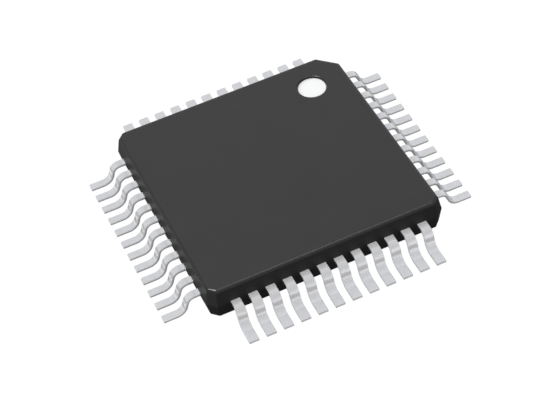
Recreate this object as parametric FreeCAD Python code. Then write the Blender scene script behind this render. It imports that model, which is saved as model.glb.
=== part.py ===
import FreeCAD, Part
import math
import os
from FreeCAD import Vector

# Quad flat pack, 48 gull-wing leads on a 0.5 mm pitch, 7 x 7 mm moulded body.
# Millimetres. +Z up, z = 0 is the plane the lead feet stand on, origin at the
# middle of the package. The pin 1 corner is at (-X, +Y); leads 1-12 are on the
# -X side, 13-24 on -Y, 25-36 on +X and 37-48 on +Y, counted anticlockwise.

# ---- driving dimensions -------------------------------------------------
PITCH = 0.50            # lead pitch
LEADS_PER_SIDE = 12
HALF_SPAN = 4.60        # middle of the package to a lead tip
LEAD_T = 0.09           # leadframe thickness
LEAD_W_X = 0.28         # width of the leads on the -X and +X sides
LEAD_W_Y = 0.22         # width of the leads on the -Y and +Y sides
BEND_R_HIGH = 0.24      # radius of the upper bend at mid thickness
BEND_R_LOW = 0.31       # radius of the lower bend at mid thickness
BEND_ANGLE = 72.0       # steepness of the lead between its two bends
FOOT_START = 4.22       # where the flat foot begins

BODY_HALF = 3.49        # half width at the parting line
TOP_HALF = 3.40         # half width of the top (sharp corner)
Z_BOTTOM = 0.07         # underside of the mould above the seating plane
Z_PART = 0.54           # parting line, mid thickness of the leads
Z_TOP = 1.04            # top of the mould
CORNER = 0.19           # chamfer leg of three corners, at the top
PIN1_CORNER = 0.51      # chamfer leg of the pin 1 corner, at the top
RIM_R = 0.11            # rounding of the top rim
FOOT_RIM_R = 0.02       # rounding of the lower rim
EDGE_R = 0.06           # rounding of the upright corner edges

DOT_X, DOT_Y = -2.363, 2.290   # centre of the pin 1 dimple
DOT_RIM_R = 0.414       # dimple radius where its wall meets the rounded lip
DOT_FLOOR_R = 0.412     # dimple radius at its floor
DOT_LIP_R = 0.053       # rounding of the lip
DOT_DEPTH = 0.064
INK_T = 0.012           # thickness of the ink on the dimple floor
INK_R = 0.410

INNER_BEND = 3.15       # inside the mould, where a lead turns towards the die
INNER_TIP = 2.36        # distance of the inner lead tips from the middle
INNER_PITCH = 0.34      # pitch of the inner lead tips
INNER_W = 0.17          # width of an inner lead tip

PADDLE_HALF = 2.0       # die paddle
DOWNSET = 0.16          # paddle below the leads
TIE_W = 0.14            # tie bar width
TIE_END = 3.15          # tie bar end, measured along x and y
DIE_HALF = 1.60
DIE_T = 0.25
ATTACH_HALF = 1.64
ATTACH_T = 0.02
PAD_RING = 1.53         # bond pads from the middle of the die
PAD_PITCH = 0.24
WIRE_R = 0.0125         # bond wire radius
LOOP_H = 0.12           # height of the wire loop over the die
BALL_R = 0.030          # ball of the first bond
BALL_H = 0.016
STITCH_IN = 0.13        # second bond, measured from the inner lead tip

# ---- derived heights ----------------------------------------------------
LEAD_LO = Z_PART - LEAD_T / 2.0
LEAD_HI = Z_PART + LEAD_T / 2.0
PADDLE_LO = LEAD_LO - DOWNSET
PADDLE_HI = LEAD_HI - DOWNSET
ATTACH_HI = PADDLE_HI + ATTACH_T
DIE_HI = ATTACH_HI + DIE_T


def face_from(points):
    wire = Part.makePolygon(points + [points[0]])
    return Part.Face(wire)


# ---- mould outline ------------------------------------------------------
def outline(half, z, grow):
    """Eight sided outline, pin 1 corner at (-X, +Y); grow is how far this
    section stands outside the top one."""
    c = CORNER + (2.0 - math.sqrt(2.0)) * grow
    p = PIN1_CORNER + (2.0 - math.sqrt(2.0)) * grow
    h = half
    pts = [(-h + c, -h), (h - c, -h), (h, -h + c), (h, h - c),
           (h - c, h), (-h + p, h), (-h, h - p), (-h, -h + c)]
    v = [Vector(x, y, z) for x, y in pts]
    return Part.makePolygon(v + [v[0]])


def rising(e):
    return abs(e.Vertexes[0].Point.z - e.Vertexes[-1].Point.z) > 0.1


def level(e, z):
    m = e.BoundBox
    return abs(m.ZMin - z) < 1e-4 and abs(m.ZMax - z) < 1e-4


def mould_outer():
    """Both halves of the mould lean in from the parting line at one angle, so
    that their rounded corners meet exactly there."""
    g = BODY_HALF - TOP_HALF
    d = g * (1.0 - (Z_PART - Z_BOTTOM) / (Z_TOP - Z_PART))
    high = Part.makeLoft([outline(BODY_HALF, Z_PART, g),
                          outline(TOP_HALF, Z_TOP, 0.0)], True, True)
    high = high.makeFillet(RIM_R, [e for e in high.Edges if level(e, Z_TOP)])
    high = high.makeFillet(EDGE_R, [e for e in high.Edges
                                    if rising(e) and e.BoundBox.ZMin < Z_PART + 1e-3])
    low = Part.makeLoft([outline(TOP_HALF + d, Z_BOTTOM, d),
                         outline(BODY_HALF, Z_PART, g)], True, True)
    low = low.makeFillet(EDGE_R, [e for e in low.Edges if rising(e)])
    low = low.makeFillet(FOOT_RIM_R, [e for e in low.Edges if level(e, Z_BOTTOM)])
    return low.fuse(high)


# ---- one lead -----------------------------------------------------------
# Built on the +X side, centred on y = 0: the gull wing outside, then the flat
# inner part that turns towards its place beside the die.
def wing_profile():
    """Closed side profile of the gull wing in the x-z plane."""
    t = LEAD_T / 2.0
    a = math.radians(BEND_ANGLE)
    drop = Z_PART - t
    both = BEND_R_HIGH + BEND_R_LOW
    straight = (drop - both * (1.0 - math.cos(a))) / math.sin(a)
    run = both * math.sin(a) + straight * math.cos(a)
    x0 = FOOT_START - run

    def at(x, z):
        return Vector(x, 0.0, z)

    def offset_side(s):
        """Points of the path shifted by s to its upper side."""
        r1 = BEND_R_HIGH + s     # upper bend, centre below the path
        r2 = BEND_R_LOW - s      # lower bend, centre above the path
        c1 = (x0, Z_PART - BEND_R_HIGH)
        c2 = (FOOT_START, t + BEND_R_LOW)
        p = [at(INNER_BEND, Z_PART + s), at(x0, Z_PART + s)]
        m1 = at(c1[0] + r1 * math.sin(a / 2), c1[1] + r1 * math.cos(a / 2))
        e1 = at(c1[0] + r1 * math.sin(a), c1[1] + r1 * math.cos(a))
        b2 = at(c2[0] - r2 * math.sin(a), c2[1] - r2 * math.cos(a))
        m2 = at(c2[0] - r2 * math.sin(a / 2), c2[1] - r2 * math.cos(a / 2))
        e2 = at(FOOT_START, t + s)
        tip = at(HALF_SPAN, t + s)
        return p, m1, e1, b2, m2, e2, tip

    def chain(side):
        p, m1, e1, b2, m2, e2, tip = side
        return [Part.makeLine(p[0], p[1]),
                Part.Arc(p[1], m1, e1).toShape(),
                Part.makeLine(e1, b2),
                Part.Arc(b2, m2, e2).toShape(),
                Part.makeLine(e2, tip)]

    up, lo = offset_side(t), offset_side(-t)
    edges = chain(up) + [Part.makeLine(up[6], lo[6])] + chain(lo) + \
        [Part.makeLine(lo[0][0], up[0][0])]
    return Part.Face(Part.Wire(Part.__sortEdges__(edges)))


def inner_line(offset):
    """Centre line of the inner part of the lead at this offset along the side:
    from the turning point to the tip, in the x-y plane of the +X side."""
    k = offset / PITCH
    return (INNER_BEND, offset), (INNER_TIP, k * INNER_PITCH)


def make_lead(offset, width):
    wing = wing_profile().extrude(Vector(0, width, 0))
    wing.translate(Vector(0, offset - width / 2.0, 0))
    (xa, ya), (xb, yb) = inner_line(offset)
    pts = [Vector(xa, ya - width / 2.0, LEAD_LO), Vector(xa, ya + width / 2.0, LEAD_LO),
           Vector(xb + 0.15, yb + (ya - yb) * 0.15 / (xa - xb) + INNER_W / 2.0, LEAD_LO),
           Vector(xb, yb + INNER_W / 2.0, LEAD_LO),
           Vector(xb, yb - INNER_W / 2.0, LEAD_LO),
           Vector(xb + 0.15, yb + (ya - yb) * 0.15 / (xa - xb) - INNER_W / 2.0, LEAD_LO)]
    inner = face_from(pts).extrude(Vector(0, 0, LEAD_T))
    return wing.fuse(inner).removeSplitter()


# side: turn about +Z that carries the +X side onto it, lead numbers anticlockwise
SIDES = [("-X", 180.0, LEAD_W_X, 1), ("-Y", 270.0, LEAD_W_Y, 13),
         ("+X", 0.0, LEAD_W_X, 25), ("+Y", 90.0, LEAD_W_Y, 37)]


def offsets():
    n = LEADS_PER_SIDE
    return [(i - (n - 1) / 2.0) * PITCH for i in range(n)]


def turned(shape, angle):
    s = shape.copy()
    s.rotate(Vector(0, 0, 0), Vector(0, 0, 1), angle)
    return s


# ---- die paddle with its four tie bars ---------------------------------
def make_paddle():
    h = PADDLE_HALF
    k = 0.12
    pts = [(-h + k, -h), (h - k, -h), (h, -h + k), (h, h - k),
           (h - k, h), (-h + k, h), (-h, h - k), (-h, -h + k)]
    plate = face_from([Vector(x, y, PADDLE_LO) for x, y in pts]).extrude(Vector(0, 0, LEAD_T))
    root2 = math.sqrt(2.0)
    s0 = (h - 0.30) * root2          # starts inside the plate
    s1 = (h + 0.14) * root2          # foot of the ramp
    s2 = s1 + 0.22                   # head of the ramp
    s3 = TIE_END * root2
    lo = [(s0, PADDLE_LO), (s1, PADDLE_LO), (s2, LEAD_LO), (s3, LEAD_LO)]
    hi = [(s3, LEAD_HI), (s2 - 0.02, LEAD_HI), (s1 - 0.02, PADDLE_HI), (s0, PADDLE_HI)]
    bar = face_from([Vector(s, -TIE_W / 2.0, z) for s, z in lo + hi]).extrude(Vector(0, TIE_W, 0))
    out = plate
    for angle in (45.0, 135.0, 225.0, 315.0):
        out = out.fuse(turned(bar, angle))
    return out.removeSplitter()


# ---- bond wires ---------------------------------------------------------
def rounded_path(points, radii):
    """Straight runs joined by tangent arcs, as a wire."""
    edges = []
    last = points[0]
    for i in range(1, len(points) - 1):
        p, r = points[i], radii[i - 1]
        u = (points[i - 1] - p).normalize()
        v = (points[i + 1] - p).normalize()
        half = math.acos(max(-1.0, min(1.0, u.dot(v)))) / 2.0
        cut = r / math.tan(half)
        a = p + u * cut
        c = p + v * cut
        bis = (u + v).normalize()
        mid = p + bis * (r / math.sin(half) - r)
        edges.append(Part.LineSegment(last, a).toShape())
        edges.append(Part.Arc(a, mid, c).toShape())
        last = c
    edges.append(Part.LineSegment(last, points[-1]).toShape())
    return Part.Wire(edges)


def make_wire(offset):
    """One gold wire from its pad on the die to the tip of the inner lead."""
    k = offset / PITCH
    (xa, ya), (xb, yb) = inner_line(offset)
    start = Vector(PAD_RING, k * PAD_PITCH, DIE_HI)
    f = STITCH_IN / (xa - xb)
    end = Vector(xb + STITCH_IN, yb + (ya - yb) * f, LEAD_HI)
    reach = math.hypot(end.x - start.x, end.y - start.y)
    way = Vector((end.x - start.x) / reach, (end.y - start.y) / reach, 0.0)

    def along(s, z):
        return Vector(start.x + way.x * s, start.y + way.y * s, z)

    path = rounded_path([along(0.0, DIE_HI + 0.004),
                         along(0.0, DIE_HI + LOOP_H),
                         along(reach * 0.52, DIE_HI + LOOP_H * 0.86),
                         along(reach + 0.004, LEAD_HI + 0.004)], [0.055, 0.30])
    ring = Part.Wire([Part.makeCircle(WIRE_R, along(0.0, DIE_HI + 0.004), Vector(0, 0, 1))])
    pipe = path.makePipeShell([ring], True, False)
    ball = Part.makeCylinder(BALL_R, BALL_H, Vector(start.x, start.y, DIE_HI))
    stitch = Part.makeBox(0.062, 0.036, 0.010, Vector(-0.020, -0.018, 0.0))
    stitch.rotate(Vector(0, 0, 0), Vector(0, 0, 1), math.degrees(math.atan2(way.y, way.x)))
    stitch.translate(end)
    keep = Part.makeBox(6.0, 6.0, 1.0, Vector(-1.0, -3.0, LEAD_HI))
    return pipe.fuse([ball, stitch]).common(keep)


def save(shape, name):
    if not shape.isValid():
        raise RuntimeError("invalid shape: " + name)
    shape.exportStep("parts/" + name + ".step")
    print(name, "solids", len(shape.Solids), "volume %.5f" % shape.Volume)


def main():
    os.makedirs("parts", exist_ok=True)
    leads = {}
    wires = {}
    for tag, angle, width, first in SIDES:
        row = []
        for i, off in enumerate(offsets()):
            leads[first + i] = turned(make_lead(off, width), angle)
            row.append(turned(make_wire(off), angle))
        wires[tag] = row

    paddle = make_paddle()
    attach = Part.makeBox(2 * ATTACH_HALF, 2 * ATTACH_HALF, ATTACH_T,
                          Vector(-ATTACH_HALF, -ATTACH_HALF, PADDLE_HI))
    die = Part.makeBox(2 * DIE_HALF, 2 * DIE_HALF, DIE_T,
                       Vector(-DIE_HALF, -DIE_HALF, ATTACH_HI))
    ink = Part.makeCylinder(INK_R, INK_T, Vector(DOT_X, DOT_Y, Z_TOP - DOT_DEPTH))

    body = mould_outer()
    body = body.cut(Part.makeCone(DOT_FLOOR_R, DOT_RIM_R, DOT_DEPTH,
                                  Vector(DOT_X, DOT_Y, Z_TOP - DOT_DEPTH)))
    body = body.makeFillet(DOT_LIP_R, [e for e in body.Edges if level(e, Z_TOP)
                                       and abs(e.BoundBox.Center.x - DOT_X) < 0.05
                                       and abs(e.BoundBox.Center.y - DOT_Y) < 0.05])
    body = body.cut(list(leads.values()))
    core = paddle.fuse([attach, die])
    for row in wires.values():
        core = core.fuse(row)
    body = body.cut(core)

    save(body, "mould_body")
    for number in sorted(leads):
        save(leads[number], "lead_%02d" % number)
    save(paddle, "die_paddle")
    save(attach, "die_attach")
    save(die, "silicon_die")
    save(ink, "pin_1_ink_dot")
    for tag, name in (("-X", "bond_wires_1_to_12"), ("-Y", "bond_wires_13_to_24"),
                      ("+X", "bond_wires_25_to_36"), ("+Y", "bond_wires_37_to_48")):
        save(Part.makeCompound(wires[tag]), name)


main()
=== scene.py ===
import math

import bpy
import bmesh
from mathutils import Matrix, Vector
from mathutils.geometry import tessellate_polygon


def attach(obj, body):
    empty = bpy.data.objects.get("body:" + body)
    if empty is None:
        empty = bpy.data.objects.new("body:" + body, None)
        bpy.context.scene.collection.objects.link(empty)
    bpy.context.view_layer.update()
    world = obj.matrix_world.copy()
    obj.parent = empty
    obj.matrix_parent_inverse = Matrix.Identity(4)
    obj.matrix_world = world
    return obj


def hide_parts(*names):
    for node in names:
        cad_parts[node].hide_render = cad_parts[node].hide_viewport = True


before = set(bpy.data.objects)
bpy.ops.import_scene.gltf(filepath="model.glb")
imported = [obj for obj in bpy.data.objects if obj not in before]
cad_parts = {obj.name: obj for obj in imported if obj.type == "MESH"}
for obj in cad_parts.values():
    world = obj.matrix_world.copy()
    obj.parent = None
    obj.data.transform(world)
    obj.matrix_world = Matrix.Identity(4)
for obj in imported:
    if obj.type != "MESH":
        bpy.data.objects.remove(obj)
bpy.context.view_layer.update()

MM = 0.001
scene = bpy.context.scene

# ------------------------------------------------------------------
# sizes, in millimetres, the same as the CAD source
# ------------------------------------------------------------------
PITCH = 0.50
HALF_SPAN = 4.60
LEAD_T = 0.09
LEAD_W_X = 0.28
LEAD_W_Y = 0.22
BEND_R_HIGH = 0.24
BEND_R_LOW = 0.31
BEND_ANGLE = math.radians(72.0)
FOOT_START = 4.22
DIE_ROLL_R = 0.020       # upper edges of the stamped strip, rolled over by the punch
BURR_EDGE_R = 0.010      # lower edges
TIP_EDGE_R = 0.014

TOP_HALF = 3.40
PART_GROW = 0.09
Z_BOTTOM, Z_PART, Z_TOP = 0.07, 0.54, 1.04
CORNER = 0.19
PIN1_CORNER = 0.51
RIM_R = 0.11
FOOT_RIM_R = 0.02
UPRIGHT_R = 0.06

DOT = (-2.363, 2.290)
DOT_RIM_R = 0.414
DOT_FLOOR_R = 0.412
DOT_DEPTH = 0.064
DOT_LIP_R = 0.053
INK_R = 0.410
INK_T = 0.012

INNER_BEND = 3.15
INNER_TIP = 2.36
INNER_PITCH = 0.34
INNER_W = 0.17


# ------------------------------------------------------------------
# node helpers
# ------------------------------------------------------------------
class Nodes:
    """A material's node tree with short calls for the nodes used here."""

    def __init__(self, name):
        self.mat = bpy.data.materials.new(name)
        self.mat.use_nodes = True
        self.t = self.mat.node_tree
        self.bsdf = self.t.nodes["Principled BSDF"]
        self.out = self.t.nodes["Material Output"]
        coord = self.t.nodes.new("ShaderNodeTexCoord")
        self.mm = self.t.nodes.new("ShaderNodeMapping")
        self.mm.inputs["Scale"].default_value = (1000.0, 1000.0, 1000.0)
        self.t.links.new(coord.outputs["Object"], self.mm.inputs["Vector"])
        self.p = self.mm.outputs["Vector"]          # object position in millimetres

    def link(self, a, b):
        self.t.links.new(a, b)

    def stretch(self, scale, rotation=(0.0, 0.0, 0.0)):
        m = self.t.nodes.new("ShaderNodeMapping")
        m.inputs["Scale"].default_value = scale
        m.inputs["Rotation"].default_value = rotation
        self.link(self.p, m.inputs["Vector"])
        return m.outputs["Vector"]

    def noise(self, scale, detail=3.0, rough=0.55, vector=None, distortion=0.0):
        n = self.t.nodes.new("ShaderNodeTexNoise")
        n.inputs["Scale"].default_value = scale
        n.inputs["Detail"].default_value = detail
        n.inputs["Roughness"].default_value = rough
        n.inputs["Distortion"].default_value = distortion
        self.link(vector or self.p, n.inputs["Vector"])
        return n.outputs["Fac"]

    def cells(self, scale, feature="F1", output="Distance", vector=None, randomness=1.0):
        v = self.t.nodes.new("ShaderNodeTexVoronoi")
        v.feature = feature
        v.inputs["Scale"].default_value = scale
        v.inputs["Randomness"].default_value = randomness
        self.link(vector or self.p, v.inputs["Vector"])
        return v.outputs[output]

    def span(self, value, a, b, lo, hi, smooth=False):
        """Maps value from a..b to lo..hi, clamped."""
        m = self.t.nodes.new("ShaderNodeMapRange")
        m.interpolation_type = "SMOOTHSTEP" if smooth else "LINEAR"
        m.inputs["From Min"].default_value = a
        m.inputs["From Max"].default_value = b
        m.inputs["To Min"].default_value = lo
        m.inputs["To Max"].default_value = hi
        self.link(value, m.inputs["Value"])
        return m.outputs["Result"]

    def math(self, op, a, b=None):
        m = self.t.nodes.new("ShaderNodeMath")
        m.operation = op
        for i, v in enumerate((a, b)):
            if v is None:
                continue
            if isinstance(v, (int, float)):
                m.inputs[i].default_value = v
            else:
                self.link(v, m.inputs[i])
        return m.outputs[0]

    def ramp(self, value, stops):
        r = self.t.nodes.new("ShaderNodeValToRGB")
        e = r.color_ramp.elements
        while len(e) > len(stops):
            e.remove(e[-1])
        while len(e) < len(stops):
            e.new(1.0)
        for el, (pos, col) in zip(e, stops):
            el.position = pos
            el.color = (*col, 1.0)
        self.link(value, r.inputs["Fac"])
        return r.outputs["Color"]

    def mix(self, fac, a, b, kind="MIX"):
        m = self.t.nodes.new("ShaderNodeMix")
        m.data_type = "RGBA"
        m.blend_type = kind
        for sock, v in ((m.inputs["Factor"], fac), (m.inputs["A"], a), (m.inputs["B"], b)):
            if isinstance(v, tuple):
                sock.default_value = (*v, 1.0)
            elif isinstance(v, (int, float)):
                sock.default_value = v
            else:
                self.link(v, sock)
        return m.outputs["Result"]

    def attribute(self, name):
        a = self.t.nodes.new("ShaderNodeAttribute")
        a.attribute_name = name
        return a.outputs["Fac"]

    def normal_axis(self, axis):
        g = self.t.nodes.new("ShaderNodeNewGeometry")
        s = self.t.nodes.new("ShaderNodeSeparateXYZ")
        self.link(g.outputs["Normal"], s.inputs[0])
        return s.outputs[axis]

    def bump(self, height, distance_mm, strength=1.0, after=None):
        b = self.t.nodes.new("ShaderNodeBump")
        b.inputs["Strength"].default_value = strength
        b.inputs["Distance"].default_value = distance_mm * MM
        self.link(height, b.inputs["Height"])
        if after is not None:
            self.link(after, b.inputs["Normal"])
        return b.outputs["Normal"]

    def set(self, name, value):
        s = self.bsdf.inputs[name]
        if isinstance(value, tuple):
            s.default_value = (*value, 1.0)
        elif isinstance(value, (int, float)):
            s.default_value = value
        else:
            self.link(value, s)
        return self


# ------------------------------------------------------------------
# materials
# ------------------------------------------------------------------
def mould_compound():
    """Black epoxy filled with fine silica: matte, with the spark-eroded grain of
    the mould on its faces and slow differences from the flow of the resin."""
    n = Nodes("black_mould_compound")
    cloud = n.noise(0.9, 4.0, 0.6)
    grain = n.noise(26.0, 4.0, 0.62)
    filler = n.cells(38.0)
    base = n.ramp(cloud, [(0.30, (0.0058, 0.0059, 0.0061)), (0.70, (0.0074, 0.0075, 0.0077))])
    specks = n.span(filler, 0.06, 0.20, 1.0, 0.0)
    base = n.mix(n.math("MULTIPLY", specks, 0.30), base, (0.016, 0.016, 0.017))
    n.set("Base Color", base)
    rough = n.span(grain, 0.25, 0.75, 0.27, 0.34)
    side = n.span(n.normal_axis("Z"), 0.15, 0.55, 0.13, 0.0, smooth=True)
    rough = n.math("ADD", rough, side)
    # the rims come out of the mould smoother than the eroded faces
    rough = n.math("SUBTRACT", rough, n.math("MULTIPLY", n.attribute("rim"), 0.09))
    n.set("Roughness", rough)
    n.set("Specular IOR Level", 0.315)
    b = n.bump(n.noise(11.0, 3.0, 0.5), 0.0016, 0.6)
    b = n.bump(grain, 0.0016, 0.7, after=b)
    n.link(b, n.bsdf.inputs["Normal"])
    return n.mat


DARK, GREY, WHITE = (0.0, 0.0, 0.0), (0.35, 0.35, 0.35), (1.0, 1.0, 1.0)


def tin_plating():
    """Matte tin over the leadframe: a satin grain, with cloudy patches from the
    plating bath, and painted highlight and painted shade lines across the bends."""
    n = Nodes("matte_tin_plating")
    cloud = n.noise(5.5, 4.0, 0.6)
    grain = n.noise(24.0, 3.0, 0.55)
    fine = n.noise(80.0, 2.0, 0.5)
    base = n.ramp(cloud, [(0.28, (0.600, 0.608, 0.632)), (0.72, (0.650, 0.658, 0.682))])
    base = n.mix(n.span(grain, 0.38, 0.66, 0.0, 0.16), base, (0.72, 0.728, 0.746))
    # painted reflection on the outer face of the wing: a darker, warmer band of painted shade
    # across its steep part with painted highlight lines beside it
    drift = n.math("MULTIPLY", n.math("SUBTRACT", n.noise(2.6, 2.0, 0.5), 0.5), 0.10)
    ripple = n.math("MULTIPLY", n.math("SUBTRACT", n.noise(9.0, 2.0, 0.5), 0.5), 0.05)
    fall = n.math("ADD", n.attribute("fall"), n.math("ADD", drift, ripple))
    painted_shade_band = n.ramp(fall, [(0.190, DARK), (0.215, GREY), (0.240, DARK), (0.280, DARK), (0.310, WHITE),
                         (0.360, WHITE), (0.395, DARK)])
    painted_highlight_lines = n.ramp(fall, [(0.205, DARK), (0.235, WHITE), (0.255, WHITE), (0.285, DARK),
                           (0.400, DARK), (0.425, WHITE), (0.445, WHITE), (0.475, DARK)])
    face = n.attribute("outer_face")
    base = n.mix(n.math("MULTIPLY", painted_shade_band, n.math("MULTIPLY", face, 0.85)), base, (0.530, 0.512, 0.510))
    base = n.mix(n.math("MULTIPLY", painted_highlight_lines, n.math("MULTIPLY", face, 0.80)), base, (0.78, 0.785, 0.80))
    # painted shade along the upper bend: a dark line keyed to height
    line = n.ramp(fall, [(0.462, DARK), (0.488, WHITE), (0.522, WHITE), (0.542, DARK)])
    patchy = n.math("MULTIPLY", face, n.span(ripple, -0.02, 0.02, 0.85, 1.0))
    base = n.mix(n.math("MULTIPLY", n.attribute("painted_bend_shade"), patchy), base, (0.530, 0.512, 0.510))
    line = n.math("MULTIPLY", line, n.attribute("narrow_lead_painted_lines"))
    base = n.mix(n.math("MULTIPLY", line, patchy), base, (0.420, 0.408, 0.406))
    # painted light beside the mould, lifting the shade the mould casts on the leads, and a painted light line across
    # the bend of the narrow leads
    painted_light_line = n.ramp(fall, [(0.355, DARK), (0.385, WHITE), (0.420, WHITE), (0.445, DARK)])
    painted_light_line = n.math("MULTIPLY", painted_light_line, n.math("MULTIPLY", n.attribute("narrow_lead_painted_lines"), face))
    near = n.math("ADD", n.attribute("painted_light_lift"), n.math("MULTIPLY", painted_light_line, 0.6))
    base = n.mix(near, base, (0.97, 0.975, 0.985))
    # sheared edges: the cut zone painted lighter as a painted highlight, the broken zone painted darker as painted
    # shade
    base = n.mix(n.math("MULTIPLY", n.attribute("cut_zone_highlight"), 0.85), base, (0.84, 0.845, 0.86))
    base = n.mix(n.math("MULTIPLY", n.attribute("broken_zone_shade"), 0.90), base, (0.455, 0.460, 0.470))
    # painted shade on them beside the mould
    base = n.mix(n.math("MULTIPLY", n.attribute("painted_root_shade"), n.span(grain, 0.3, 0.6, 0.65, 0.85)), base, (0.030, 0.030, 0.031))
    n.set("Base Color", base)
    n.set("Metallic", n.math("SUBTRACT", 0.40, n.math("MULTIPLY", near, 0.25)))
    rough = n.math("ADD", n.span(cloud, 0.25, 0.75, 0.22, 0.30),
                   n.math("MULTIPLY", n.math("SUBTRACT", grain, 0.5), 0.14))
    n.set("Roughness", rough)
    b = n.bump(grain, 0.0006, 0.6)
    b = n.bump(fine, 0.0003, 0.5, after=b)
    n.link(b, n.bsdf.inputs["Normal"])
    return n.mat


def white_ink():
    """Opaque white marking ink, slightly thicker towards its edge."""
    n = Nodes("white_marking_ink")
    cloud = n.noise(4.0, 3.0, 0.6)
    grain = n.noise(60.0, 2.0, 0.5)
    n.set("Base Color", n.ramp(cloud, [(0.3, (0.800, 0.803, 0.810)), (0.7, (0.825, 0.825, 0.827))]))
    n.set("Roughness", n.span(grain, 0.3, 0.7, 0.50, 0.64))
    n.link(n.bump(grain, 0.0008, 0.6), n.bsdf.inputs["Normal"])
    return n.mat


def leadframe_copper():
    n = Nodes("leadframe_copper")
    cloud = n.noise(3.0, 4.0, 0.6)
    lines = n.noise(1.0, 3.0, 0.55, vector=n.stretch((3.0, 70.0, 70.0)))
    base = n.ramp(cloud, [(0.3, (0.66, 0.33, 0.20)), (0.7, (0.82, 0.46, 0.31))])
    base = n.mix(n.span(lines, 0.35, 0.65, 0.0, 0.25), base, (0.90, 0.56, 0.40))
    n.set("Base Color", base)
    n.set("Metallic", 1.0)
    n.set("Roughness", n.span(lines, 0.3, 0.7, 0.28, 0.42))
    n.link(n.bump(lines, 0.0010, 0.6), n.bsdf.inputs["Normal"])
    return n.mat


def silver_epoxy():
    n = Nodes("silver_filled_epoxy")
    flakes = n.cells(22.0, output="Color")
    edge = n.cells(22.0)
    n.set("Base Color", n.mix(0.30, n.ramp(edge, [(0.05, (0.62, 0.61, 0.58)), (0.6, (0.40, 0.39, 0.37))]),
                              flakes, "SOFT_LIGHT"))
    n.set("Metallic", 0.75)
    n.set("Roughness", n.span(edge, 0.0, 0.6, 0.34, 0.58))
    n.link(n.bump(edge, 0.0030, 0.7), n.bsdf.inputs["Normal"])
    return n.mat


def silicon():
    n = Nodes("passivated_silicon")
    cloud = n.noise(0.8, 3.0, 0.5)
    blocks = n.cells(3.2, feature="F1", output="Distance", randomness=0.75)
    ways = n.noise(1.0, 2.0, 0.4, vector=n.stretch((26.0, 3.0, 3.0)))
    base = n.ramp(cloud, [(0.3, (0.070, 0.078, 0.105)), (0.7, (0.105, 0.098, 0.120))])
    base = n.mix(n.span(blocks, 0.10, 0.45, 0.35, 0.0), base, (0.20, 0.185, 0.15))
    base = n.mix(n.span(ways, 0.45, 0.6, 0.0, 0.25), base, (0.16, 0.17, 0.20))
    n.set("Base Color", base)
    n.set("Metallic", 0.35)
    n.set("Roughness", n.span(blocks, 0.0, 0.5, 0.14, 0.26))
    n.link(n.bump(ways, 0.0004, 0.5), n.bsdf.inputs["Normal"])
    return n.mat


def gold_wire():
    n = Nodes("gold_bond_wire")
    drawn = n.noise(60.0, 3.0, 0.5)
    n.set("Base Color", n.ramp(drawn, [(0.3, (0.86, 0.60, 0.24)), (0.7, (1.0, 0.76, 0.36))]))
    n.set("Metallic", 1.0)
    n.set("Roughness", n.span(drawn, 0.3, 0.7, 0.18, 0.30))
    n.link(n.bump(drawn, 0.0004, 0.5), n.bsdf.inputs["Normal"])
    return n.mat


MOULD, TIN, INK = mould_compound(), tin_plating(), white_ink()
COPPER, EPOXY, SILICON, GOLD = leadframe_copper(), silver_epoxy(), silicon(), gold_wire()


def dress(node, material):
    """A CAD node that stays gets its material on every slot it has."""
    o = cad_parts[node]
    if not o.material_slots:
        o.data.materials.append(material)
    for s in o.material_slots:
        s.material = material
    return o


dress("die_paddle", COPPER)
dress("die_attach", EPOXY)
dress("silicon_die", SILICON)
for tag in ("1_to_12", "13_to_24", "25_to_36", "37_to_48"):
    dress("bond_wires_" + tag, GOLD)


# ------------------------------------------------------------------
# mesh helpers
# ------------------------------------------------------------------
def new_piece(name, bm, material, slot, *nodes):
    bmesh.ops.recalc_face_normals(bm, faces=bm.faces)
    me = bpy.data.meshes.new(name)
    bm.to_mesh(me)
    bm.free()
    for p in me.polygons:
        p.use_smooth = True
    me.materials.append(material)
    o = bpy.data.objects.new(name, me)
    scene.collection.objects.link(o)
    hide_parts(*nodes)
    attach(o, "root")
    return o


def skin(bm, rings):
    """Quads between closed rings of vertices with the same count."""
    for a, b in zip(rings, rings[1:]):
        n = len(a)
        for i in range(n):
            j = (i + 1) % n
            bm.faces.new((a[i], a[j], b[j], b[i]))


def verts(bm, pts):
    return [bm.verts.new((x * MM, y * MM, z * MM)) for x, y, z in pts]


# ------------------------------------------------------------------
# mould body
# ------------------------------------------------------------------
CORNER_SEGMENTS = 8


def outline(grow):
    """Rounded eight-sided outline, standing grow outside the top one. Every call
    gives the same number of points, so outlines can be skinned."""
    h = TOP_HALF + grow
    c = CORNER + (2.0 - math.sqrt(2.0)) * grow
    p = PIN1_CORNER + (2.0 - math.sqrt(2.0)) * grow
    pts = [(-h + c, -h), (h - c, -h), (h, -h + c), (h, h - c),
           (h - c, h), (-h + p, h), (-h, h - p), (-h, -h + c)]
    out = []
    n = len(pts)
    for i in range(n):
        a, b, d = Vector(pts[i - 1]), Vector(pts[i]), Vector(pts[(i + 1) % n])
        u, v = (a - b).normalized(), (d - b).normalized()
        half = u.angle(v) / 2.0
        cut = UPRIGHT_R / math.tan(half)
        centre = b + (u + v).normalized() * (UPRIGHT_R / math.sin(half))
        s, e = b + u * cut - centre, b + v * cut - centre
        a0 = math.atan2(s.y, s.x)
        turn = math.atan2(s.x * e.y - s.y * e.x, s.dot(e))
        for k in range(CORNER_SEGMENTS + 1):
            t = a0 + turn * k / CORNER_SEGMENTS
            out.append((centre.x + UPRIGHT_R * math.cos(t), centre.y + UPRIGHT_R * math.sin(t)))
    return out


def arc(cx, cz, r, a0, a1, steps):
    return [(cx + r * math.cos(a0 + (a1 - a0) * k / steps), cz + r * math.sin(a0 + (a1 - a0) * k / steps))
            for k in range(steps + 1)]


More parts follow.
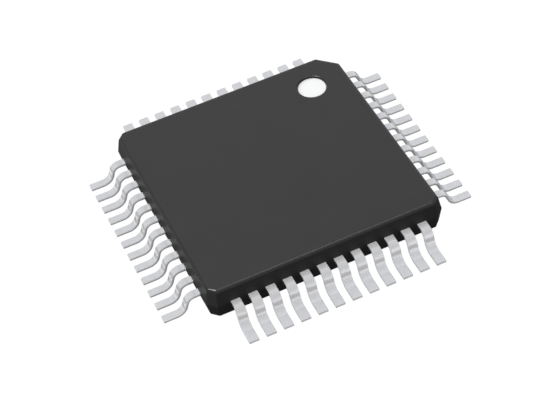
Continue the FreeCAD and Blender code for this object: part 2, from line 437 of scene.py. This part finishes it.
def mould_profile():
    """(grow, z) from the edge of the underside up to the edge of the top."""
    lean = math.atan2(PART_GROW, Z_TOP - Z_PART)
    reach = math.tan((math.pi / 2.0 - lean) / 2.0)

    def side(z):
        return PART_GROW * (1.0 - abs(z - Z_PART) / (Z_TOP - Z_PART))

    low = arc(side(Z_BOTTOM) - FOOT_RIM_R * reach, Z_BOTTOM + FOOT_RIM_R, FOOT_RIM_R, -math.pi / 2.0, -lean, 8)
    high = arc(-RIM_R * reach, Z_TOP - RIM_R, RIM_R, lean, math.pi / 2.0, 16)

    # the parting line: a fine bead of resin where the two mould halves meet
    bead = [(side(z), z) for z in (Z_PART - 0.16, Z_PART - 0.05, Z_PART - 0.016)]
    bead += [(PART_GROW - 0.0042, Z_PART - 0.009), (PART_GROW - 0.0004, Z_PART - 0.0055),
             (PART_GROW, Z_PART), (PART_GROW - 0.0004, Z_PART + 0.0055),
             (PART_GROW - 0.0042, Z_PART + 0.009)]
    bead += [(side(z), z) for z in (Z_PART + 0.016, Z_PART + 0.05, Z_PART + 0.16, Z_PART + 0.28)]
    inner_low = (low[0][0] - 0.02, Z_BOTTOM)
    inner_high = (high[-1][0] - 0.02, Z_TOP)
    return [inner_low] + low + bead + high + [inner_high]


def cap(bm, outer, holes, z):
    """Triangles between a closed ring and the rings inside it, all at one height."""
    loops = [outer] + holes
    flat = [v for ring in loops for v in ring]
    tris = tessellate_polygon([[Vector((v.co.x, v.co.y, 0.0)) / MM for v in ring] for ring in loops])
    for a, b, c in tris:
        try:
            bm.faces.new((flat[a], flat[b], flat[c]))
        except ValueError:
            pass


def make_mould():
    bm = bmesh.new()
    rim = bm.verts.layers.float.new("rim")
    rings = [verts(bm, [(x, y, z) for x, y in outline(g)]) for g, z in mould_profile()]
    skin(bm, rings)
    for ring, (g, z) in zip(rings, mould_profile()):
        if Z_TOP - 0.9 * RIM_R < z < Z_TOP - 0.0005:
            for v in ring:
                v[rim] = 1.0

    # dimple: lip, wall, root and floor as rings about its axis
    steps = 96
    lip = arc(DOT_RIM_R + DOT_LIP_R, Z_TOP - DOT_LIP_R, DOT_LIP_R, math.pi / 2.0, math.pi, 12)
    floor_z = Z_TOP - DOT_DEPTH
    root_r = 0.005
    root = arc(DOT_FLOOR_R - root_r, floor_z + root_r, root_r, 0.0, -math.pi / 2.0, 5)
    prof = [(DOT_RIM_R + DOT_LIP_R + 0.012, Z_TOP)] + lip + root + [(DOT_FLOOR_R - root_r - 0.02, floor_z)]
    hole = [verts(bm, [(DOT[0] + r * math.cos(2 * math.pi * k / steps),
                        DOT[1] + r * math.sin(2 * math.pi * k / steps), z) for k in range(steps)])
            for r, z in prof]
    skin(bm, hole)
    for ring in hole[3:len(lip) - 2]:
        for v in ring:
            v[rim] = 1.0
    cap(bm, rings[-1], [hole[0]], Z_TOP)
    cap(bm, rings[0], [], Z_BOTTOM)
    bm.faces.new(hole[-1])
    return new_piece("moulded_body", bm, MOULD, "mould_compound", "mould_body")


# ------------------------------------------------------------------
# leads
# ------------------------------------------------------------------
def lead_path(offset, width):
    """Sections of one lead on the +X side, from its inner tip to its foot tip:
    (x, y, z, tilt, width, inset), tilt being the fall of the strip in radians."""
    k = offset / PITCH
    t = LEAD_T / 2.0
    y_in = k * INNER_PITCH
    a = BEND_ANGLE
    drop = Z_PART - t
    both = BEND_R_HIGH + BEND_R_LOW
    straight = (drop - both * (1.0 - math.cos(a))) / math.sin(a)
    run = both * math.sin(a) + straight * math.cos(a)
    x0 = FOOT_START - run
    s = []
    # rounded inner end
    for j in range(3):
        q = math.pi / 2.0 * (1.0 - j / 3.0)
        s.append((INNER_TIP + TIP_EDGE_R * (1.0 - math.sin(q)), y_in, Z_PART, 0.0, INNER_W,
                  TIP_EDGE_R * (1.0 - math.cos(q))))
    xs = INNER_TIP + 0.15
    ys = y_in + (offset - y_in) * 0.15 / (INNER_BEND - INNER_TIP)
    for j in range(3):
        f = j / 2.0
        s.append((INNER_TIP + TIP_EDGE_R + (0.15 - TIP_EDGE_R) * f, y_in + (ys - y_in) * f, Z_PART, 0.0, INNER_W, 0.0))
    for j in range(1, 7):
        f = j / 6.0
        s.append((xs + (INNER_BEND - xs) * f, ys + (offset - ys) * f, Z_PART, 0.0,
                  INNER_W + (width - INNER_W) * f, 0.0))
    for f in (0.03, 0.25, 0.5, 0.66, 0.78, 0.88, 0.96):
        s.append((INNER_BEND + (x0 - INNER_BEND) * f, offset, Z_PART, 0.0, width, 0.0))
    bends = 18
    for j in range(bends + 1):
        q = a * j / bends
        s.append((x0 + BEND_R_HIGH * math.sin(q), offset, Z_PART - BEND_R_HIGH * (1.0 - math.cos(q)), q,
                  width, 0.0))
    xe, ze = s[-1][0], s[-1][2]
    for f in (0.25, 0.5, 0.75):
        s.append((xe + straight * f * math.cos(a), offset, ze - straight * f * math.sin(a), a, width, 0.0))
    for j in range(bends + 1):
        q = a * (1.0 - j / bends)
        s.append((FOOT_START - BEND_R_LOW * math.sin(q), offset, t + BEND_R_LOW * (1.0 - math.cos(q)), q,
                  width, 0.0))
    end = HALF_SPAN - TIP_EDGE_R
    for f in (0.04, 0.2, 0.4, 0.6, 0.8, 0.95, 1.0):
        s.append((FOOT_START + (end - FOOT_START) * f, offset, t, 0.0, width, 0.0))
    for j in range(1, 5):
        q = math.pi / 2.0 * j / 4.0
        s.append((end + TIP_EDGE_R * math.sin(q), offset, t, 0.0, width, TIP_EDGE_R * (1.0 - math.cos(q))))
    return s


def strip_section(width, thick, inset):
    """Section of the strip as (across, up), anticlockwise, always the same count:
    rolled edges above, sharp ones below."""
    hw, ht = width / 2.0 - inset, thick / 2.0 - inset
    top = max(0.004, min(DIE_ROLL_R, ht) - inset)
    low = max(0.003, BURR_EDGE_R - inset)
    out = []
    for sx, sz, r, a0 in ((1.0, 1.0, top, 0.0), (-1.0, 1.0, top, math.pi / 2.0),
                          (-1.0, -1.0, low, math.pi), (1.0, -1.0, low, 1.5 * math.pi)):
        for k in range(8):
            q = a0 + math.pi / 2.0 * k / 7.0
            out.append((sx * (hw - r) + r * math.cos(q), sz * (ht - r) + r * math.sin(q)))
        # points along the broad faces, and one on each edge
        if a0 in (0.0, math.pi):
            for f in (0.10, 0.37, 0.63, 0.90):
                out.append((sx * (hw - r) * (1.0 - 2.0 * f), sz * ht))
        else:
            # down the sheared face: end of the cut zone, start and middle of the broken zone
            marks = [f * thick for f in ((0.13, 0.0, -0.18) if sx < 0.0 else (-0.18, 0.0, 0.13))]
            out.extend((sx * hw, max(-(ht - low) + 0.001, min(ht - top - 0.001, m))) for m in marks)
    return out


def make_lead(number, offset, width, angle):
    bm = bmesh.new()
    near = bm.verts.layers.float.new("painted_light_lift")
    fall = bm.verts.layers.float.new("fall")
    face = bm.verts.layers.float.new("outer_face")
    cut = bm.verts.layers.float.new("cut_zone_highlight")
    broken_shade = bm.verts.layers.float.new("broken_zone_shade")
    painted_bend_shade = bm.verts.layers.float.new("painted_bend_shade")
    narrow_painted_lines = bm.verts.layers.float.new("narrow_lead_painted_lines")
    painted_root_shade = bm.verts.layers.float.new("painted_root_shade")
    wide = width == LEAD_W_X
    turn = Matrix.Rotation(math.radians(angle), 3, "Z")
    rings = []
    for x, y, z, tilt, w, inset in lead_path(offset, width):
        ring = []
        for across, up in strip_section(w, LEAD_T, inset):
            p = Vector((x + up * math.sin(tilt), y + across, z + up * math.cos(tilt)))
            v = bm.verts.new(turn @ p * MM)
            # painted light lift on the leads beside the mould
            if wide:
                v[near] = 0.6 * max(0.0, min(1.0, (3.70 - x) / 0.05))
            else:
                v[near] = max(0.0, min(0.7, (3.60 - x) / 0.10))
            high = z + up * math.cos(tilt)
            v[fall] = max(0.0, high + (0.0 if wide else 0.05))
            v[face] = max(0.0, min(1.0, up / LEAD_T * 4.0))
            # sheared faces: cut zone above with painted highlight, broken zone below with painted shade
            sheared = max(0.0, min(1.0, (abs(across) - w / 2.0 + inset + 0.011) / 0.008))
            v[broken_shade] = sheared * max(0.0, min(1.0, (0.13 - up / LEAD_T) / 0.12))
            v[cut] = sheared * max(0.0, min(1.0, up / LEAD_T / 0.12))
            # painted shade on the sheared faces of the wide leads beside the mould
            v[painted_root_shade] = sheared * max(0.0, min(1.0, (3.74 - x) / 0.05)) if wide else 0.0
            # painted shade along the upper bend of the wide leads; on the narrow leads, a mask for their painted shade
            # and painted light lines
            if wide:
                v[painted_bend_shade] = 0.30 * max(0.0, min(1.0, (z - 0.46) / 0.02, (0.56 - z) / 0.03))
            else:
                v[narrow_painted_lines] = 1.0
            ring.append(v)
        rings.append(ring)
    skin(bm, rings)
    for ring, first in ((rings[0], True), (rings[-1], False)):
        c = sum((v.co for v in ring), Vector()) / len(ring)
        inner = [bm.verts.new(c + (v.co - c) * 0.90) for v in ring]
        n = len(ring)
        for i in range(n):
            bm.faces.new((ring[i], ring[(i + 1) % n], inner[(i + 1) % n], inner[i]))
        bm.faces.new(inner)
        # the tip's end face also gets a little painted light lift
        if not first:
            for v in inner:
                v[near] = 0.18
    return new_piece("tin_plated_lead_%02d" % number, bm, TIN, "tin_plating", "lead_%02d" % number)


# ------------------------------------------------------------------
# ink dot
# ------------------------------------------------------------------
def make_ink():
    bm = bmesh.new()
    steps = 96
    low = Z_TOP - DOT_DEPTH
    high = low + INK_T
    prof = [(INK_R - 0.002, low), (INK_R, low + 0.003), (INK_R - 0.001, high - 0.004),
            (INK_R - 0.005, high - 0.001), (INK_R - 0.012, high), (INK_R - 0.045, high - 0.001),
            (INK_R - 0.10, high - 0.0018), (INK_R * 0.45, high - 0.002)]
    rings = [verts(bm, [(DOT[0] + r * math.cos(2 * math.pi * k / steps),
                         DOT[1] + r * math.sin(2 * math.pi * k / steps), z) for k in range(steps)])
             for r, z in prof]
    skin(bm, rings)
    bm.faces.new(rings[0])
    bm.faces.new(rings[-1])
    return new_piece("white_ink_dot", bm, INK, "white_ink", "pin_1_ink_dot")


make_mould()
make_ink()
for angle, width, first in ((180.0, LEAD_W_X, 1), (270.0, LEAD_W_Y, 13), (0.0, LEAD_W_X, 25), (90.0, LEAD_W_Y, 37)):
    for i in range(12):
        make_lead(first + i, (i - 5.5) * PITCH, width, angle)


# ------------------------------------------------------------------
# floor, light and camera
# ------------------------------------------------------------------
def make_floor():
    bm = bmesh.new()
    ring = verts(bm, [(420.0 * math.cos(math.pi * k / 48), 420.0 * math.sin(math.pi * k / 48), -0.001)
                      for k in range(96)])
    bm.faces.new(ring)
    me = bpy.data.meshes.new("studio_floor")
    bm.to_mesh(me)
    bm.free()
    n = Nodes("pale_floor")
    n.set("Base Color", n.ramp(n.noise(0.02, 2.0, 0.5), [(0.3, (0.040, 0.040, 0.040)), (0.7, (0.050, 0.050, 0.050))]))
    n.set("Roughness", 0.9)
    n.set("Specular IOR Level", 0.1)
    n.set("Emission Color", (1.0, 1.0, 1.0))
    n.set("Emission Strength", 0.985)
    me.materials.append(n.mat)
    o = bpy.data.objects.new("studio_floor", me)
    scene.collection.objects.link(o)
    o.visible_diffuse = False
    o.visible_glossy = False
    o.visible_shadow = False


def make_world():
    """White studio: even white above, a dimmer surround below the horizon that
    is lighter on the -Y side, and plain white where the camera looks past the floor."""
    w = bpy.data.worlds.new("soft_studio")
    scene.world = w
    w.use_nodes = True
    t = w.node_tree
    bg = t.nodes["Background"]
    coord = t.nodes.new("ShaderNodeTexCoord")
    sep = t.nodes.new("ShaderNodeSeparateXYZ")
    t.links.new(coord.outputs["Generated"], sep.inputs[0])

    def span(value, a, b, lo, hi):
        m = t.nodes.new("ShaderNodeMapRange")
        m.interpolation_type = "SMOOTHSTEP"
        for name, v in (("From Min", a), ("From Max", b), ("To Min", lo), ("To Max", hi)):
            m.inputs[name].default_value = v
        t.links.new(value, m.inputs["Value"])
        return m.outputs["Result"]

    def mixed(fac, a, b):
        m = t.nodes.new("ShaderNodeMix")
        m.data_type = "FLOAT"
        for name, v in (("Factor", fac), ("A", a), ("B", b)):
            if isinstance(v, float):
                m.inputs[name].default_value = v
            else:
                t.links.new(v, m.inputs[name])
        return m.outputs["Result"]

    x, y, z = sep.outputs["X"], sep.outputs["Y"], sep.outputs["Z"]
    slant = t.nodes.new("ShaderNodeMath")
    slant.operation = "MULTIPLY_ADD"
    t.links.new(x, slant.inputs[0])
    slant.inputs[1].default_value = -0.6
    t.links.new(y, slant.inputs[2])
    below = mixed(span(slant.outputs[0], 0.0, 0.6, 0.0, 1.0), span(y, -0.85, -0.40, 0.72, 0.33), 0.14)
    below = mixed(span(z, -0.98, -0.45, 0.0, 1.0), 0.08, below)
    above = span(x, -0.45, 0.40, 1.06, 0.78)
    edge = mixed(span(z, -0.02, 0.20, 0.0, 1.0), 1.05, above)
    level = mixed(span(z, -0.16, -0.03, 0.0, 1.0), below, edge)
    path = t.nodes.new("ShaderNodeLightPath")
    t.links.new(mixed(path.outputs["Is Camera Ray"], level, 1.0), bg.inputs["Strength"])
    bg.inputs["Color"].default_value = (1.0, 1.0, 1.0, 1.0)


def soft_box(name, direction, distance, size, radiance):
    """Square lamp of this radiance, facing the part."""
    d = Vector(direction).normalized()
    lamp = bpy.data.lights.new(name, "AREA")
    lamp.shape = "SQUARE"
    lamp.size = size
    lamp.energy = radiance * math.pi * size * size
    o = bpy.data.objects.new(name, lamp)
    o.location = d * distance
    o.rotation_mode = "QUATERNION"
    o.rotation_quaternion = (-d).to_track_quat("-Z", "Y")
    o.visible_camera = False
    scene.collection.objects.link(o)
    return o


def lit_by(lamp, names):
    """Only these pieces take light from the lamp."""
    group = bpy.data.collections.new(lamp.name + "_receivers")
    for name in names:
        group.objects.link(bpy.data.objects[name])
    lamp.light_linking.receiver_collection = group
    return lamp


def make_camera():
    """The view the photo was taken from; positions in millimetres."""
    place = Vector((32.34439769, -11.06860798, 35.88156047)) * MM
    right = Vector((0.41526697, 0.9049256, -0.09307526))
    down = Vector((0.63731699, -0.36240966, -0.68006344))
    ahead = Vector((-0.64913819, 0.22308944, -0.72722122))
    data = bpy.data.cameras.new("photo_view")
    data.sensor_fit = "HORIZONTAL"
    data.sensor_width = 36.0
    data.lens = 1767.0 / 560.0 * 36.0
    data.clip_start = 0.001
    data.clip_end = 2.0
    o = bpy.data.objects.new("photo_view", data)
    m = Matrix((right, -down, -ahead)).transposed().to_4x4()
    m.translation = place
    o.matrix_world = m
    scene.collection.objects.link(o)
    scene.camera = o


make_floor()
make_world()
soft_box("overhead_box", (0.05, -0.05, 1.0), 0.22, 0.30, 0.16)
LEADS = ["tin_plated_lead_%02d" % k for k in range(1, 49)]
lit_by(soft_box("rim_box", (-0.19, -0.20, 0.96), 0.22, 0.055, 31.0), ["moulded_body"])
lit_by(soft_box("rim_box_far", (-0.09, 0.22, 0.97), 0.22, 0.05, 5.2), ["moulded_body"])
lit_by(soft_box("top_box", (-0.649, 0.223, 0.727), 0.25, 0.22, 0.20), ["moulded_body"])
lit_by(soft_box("rim_box_side", (0.55, 0.15, 0.82), 0.22, 0.20, 0.35), ["moulded_body"])
lit_by(soft_box("dot_box", (-0.86, -0.42, 0.45), 0.22, 0.08, 11.5), ["white_ink_dot"])
lit_by(soft_box("lead_fill_front", (0.86, 0.12, -0.42), 0.25, 0.22, 0.40), LEADS)
lit_by(soft_box("lead_fill_side", (0.75, 0.55, 0.30), 0.25, 0.16, 0.55), LEADS)
lit_by(soft_box("lead_fill_left", (-0.65, -0.55, -0.50), 0.25, 0.22, 0.55), LEADS)
make_camera()
scene.view_settings.view_transform = "Standard"
scene.view_settings.look = "None"
